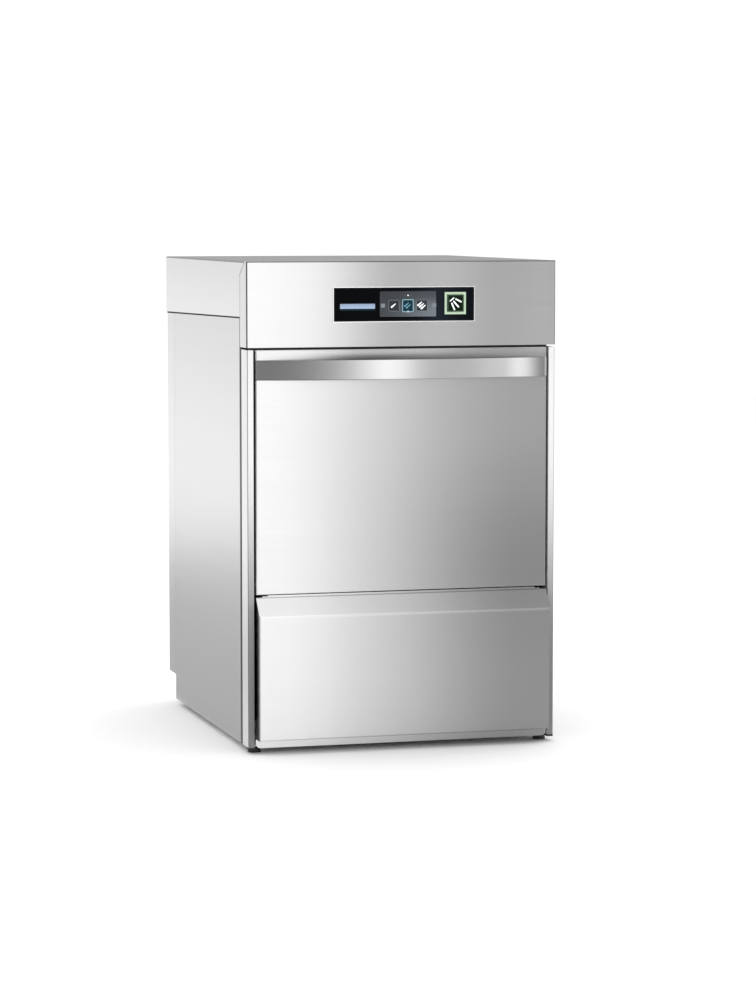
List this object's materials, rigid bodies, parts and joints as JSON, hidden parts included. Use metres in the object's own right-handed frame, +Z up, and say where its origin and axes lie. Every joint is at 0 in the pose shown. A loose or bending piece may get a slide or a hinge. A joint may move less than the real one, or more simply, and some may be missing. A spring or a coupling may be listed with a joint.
{
  "type": "under-counter glass washer",
  "caption": "Front-loading under-counter glass washer with a drop-down door, bowed full-width handle, control fascia with display and start key, and spray arms inside.",
  "frame": {"origin": "centre of the overall box at floor level, under the feet", "axes": "+Z up, -Y out of the door towards the user, +X to the user's right"},
  "size_m": [0.46, 0.568, 0.702],
  "materials": {
    "casing_steel": "brushed",
    "inner_steel": "satin",
    "hardware_steel": "polished",
    "black_plastic": "matte",
    "arm_plastic": "satin",
    "display_black": "gloss",
    "lcd": "satin",
    "key_green": "satin",
    "key_light": "satin",
    "circuit_board": "satin",
    "rubber": "matte",
    "pump_plastic": "matte",
    "motor_paint": "satin",
    "brass": "satin",
    "spring_steel": "satin"
  },
  "bodies": {
    "cabinet": {"back_panel": "inner_steel", "base_tray": "inner_steel", "boiler_heater": "inner_steel", "bottom_rail": "casing_steel", "cable_gland": "black_plastic", "casing_screws": "hardware_steel", "control_board": "circuit_board", "control_fascia": "casing_steel", "controller_case": "black_plastic", "display_bezel": "casing_steel", "display_glass": "display_black", "door_seal": "rubber", "door_springs": "spring_steel", "door_switch": "black_plastic", "dosing_pumps": "pump_plastic", "drain_outlet": "pump_plastic", "drain_pump": "pump_plastic", "fine_strainer": "inner_steel", "hinge_blocks": "inner_steel", "hinge_pins": "hardware_steel", "hoses": "rubber", "inlet_valve": "brass", "lcd_module": "lcd", "lower_arm_axle": "pump_plastic", "lower_front_panel": "casing_steel", "pillar_end_caps": "black_plastic", "pillar_left": "casing_steel", "pillar_right": "casing_steel", "rack_rail_left": "inner_steel", "rack_rail_right": "inner_steel", "rear_cover": "casing_steel", "rinse_boiler": "inner_steel", "riser_pipe": "inner_steel", "side_panel_left": "casing_steel", "side_panel_right": "casing_steel", "start_light_frame": "key_light", "surface_strainer": "inner_steel", "tank_heater": "inner_steel", "top_cover": "casing_steel", "upper_arm_axle": "pump_plastic", "wash_chamber": "inner_steel", "wash_pump_motor": "motor_paint", "wash_pump_volute": "pump_plastic", "wash_tank": "inner_steel"},
    "levelling_feet": {"levelling_feet": "black_plastic"},
    "door": {"door_outer_panel": "casing_steel", "door_inner_panel": "inner_steel", "door_handle": "casing_steel", "hinge_arms": "inner_steel", "hinge_bushes": "black_plastic", "door_magnet": "black_plastic"},
    "start_button": {"start_button": "key_green"},
    "lower_wash_arm": {"lower_wash_arm": "arm_plastic"},
    "lower_rinse_arm": {"lower_rinse_arm": "arm_plastic"},
    "upper_wash_arm": {"upper_wash_arm": "arm_plastic"},
    "upper_rinse_arm": {"upper_rinse_arm": "arm_plastic"},
    "wash_pump_rotor": {"wash_pump_rotor": "motor_paint"},
    "drain_pump_rotor": {"drain_pump_rotor": "pump_plastic"},
    "dosing_rotor_detergent": {"dosing_rotor_detergent": "pump_plastic"},
    "dosing_rotor_rinse_aid": {"dosing_rotor_rinse_aid": "pump_plastic"}
  },
  "joints": [
    {"name": "door_hinge", "type": "hinge", "parent": "cabinet", "child": "door", "pos_m": [0, -0.242, 0.2423], "axis": [1, 0, 0], "range_deg": [0, 90], "stiffness_Nm_per_rad": 3, "springref_deg": -8.59, "deforming": ["door_springs"]},
    {"name": "start_button_press", "type": "slide", "parent": "cabinet", "child": "start_button", "axis": [0, 1, 0], "range_m": [0, 0.0015], "stiffness_N_per_m": 600, "springref_m": -0.001},
    {"name": "feet_height", "type": "slide", "parent": "cabinet", "child": "levelling_feet", "axis": [0, 0, -1], "range_m": [0, 0.02]},
    {"name": "lower_wash_arm_spin", "type": "hinge", "parent": "cabinet", "child": "lower_wash_arm", "pos_m": [0, -0.015, 0.2395], "axis": [0, 0, 1], "continuous": true},
    {"name": "lower_rinse_arm_spin", "type": "hinge", "parent": "cabinet", "child": "lower_rinse_arm", "pos_m": [0, -0.015, 0.2535], "axis": [0, 0, 1], "continuous": true},
    {"name": "upper_wash_arm_spin", "type": "hinge", "parent": "cabinet", "child": "upper_wash_arm", "pos_m": [0, -0.015, 0.584], "axis": [0, 0, 1], "continuous": true},
    {"name": "upper_rinse_arm_spin", "type": "hinge", "parent": "cabinet", "child": "upper_rinse_arm", "pos_m": [0, -0.015, 0.5685], "axis": [0, 0, 1], "continuous": true},
    {"name": "wash_pump_spin", "type": "hinge", "parent": "cabinet", "child": "wash_pump_rotor", "pos_m": [0.125, 0, 0.103], "axis": [0, 1, 0], "continuous": true},
    {"name": "drain_pump_spin", "type": "hinge", "parent": "cabinet", "child": "drain_pump_rotor", "pos_m": [0.01, 0.12, 0.06], "axis": [0, 0, 1], "continuous": true},
    {"name": "detergent_pump_spin", "type": "hinge", "parent": "cabinet", "child": "dosing_rotor_detergent", "pos_m": [0.06, -0.23, 0.137], "axis": [0, 1, 0], "continuous": true},
    {"name": "rinse_aid_pump_spin", "type": "hinge", "parent": "cabinet", "child": "dosing_rotor_rinse_aid", "pos_m": [0.13, -0.23, 0.137], "axis": [0, 1, 0], "continuous": true}
  ]
}
